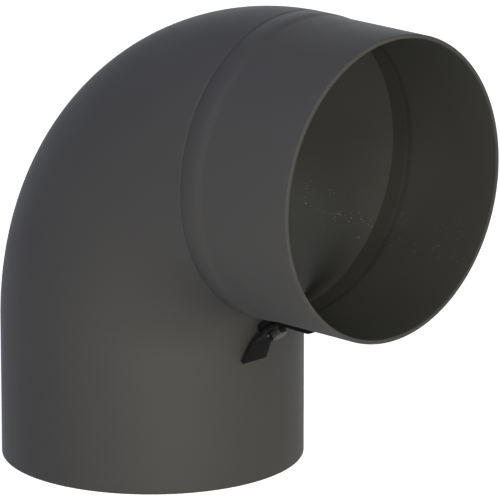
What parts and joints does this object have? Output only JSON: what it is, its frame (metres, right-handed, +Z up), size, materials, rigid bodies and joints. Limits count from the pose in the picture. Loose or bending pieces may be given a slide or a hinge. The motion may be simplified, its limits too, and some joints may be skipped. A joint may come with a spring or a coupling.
{
  "type": "stove pipe elbow",
  "caption": "Black steel stove pipe elbow turning a right angle, with a welded spigot collar and a damper blade worked by a lever in the throat of the bend.",
  "frame": {"origin": "centre of the lower leg's open end", "axes": "+Z up the lower leg's axis; +X out of the spigot's mouth; +Y across the bend, away from the side the picture is taken from"},
  "size_m": [0.2363, 0.15, 0.2378],
  "materials": {
    "flue_paint": "matt heat-resistant paint, dark grey",
    "lever_black": "matt black",
    "bare_steel": "plain dull steel",
    "zinc_steel": "dull zinc plate"
  },
  "bodies": {
    "elbow": {"elbow_shell": "flue_paint", "spigot_collar": "flue_paint", "throat_bush": "lever_black", "heel_bush": "flue_paint"},
    "damper": {"damper_shaft": "bare_steel", "damper_blade": "bare_steel", "heel_blade_screw": "zinc_steel", "throat_blade_screw": "zinc_steel", "friction_washer": "lever_black", "control_lever": "lever_black", "lever_bolt": "zinc_steel"}
  },
  "joints": [
    {"name": "damper_turn", "type": "hinge", "parent": "elbow", "child": "damper", "pos_m": [0.08042, 0, 0.08238], "axis": [0.7071, 0, -0.7071], "range_deg": [-90, 0]}
  ]
}
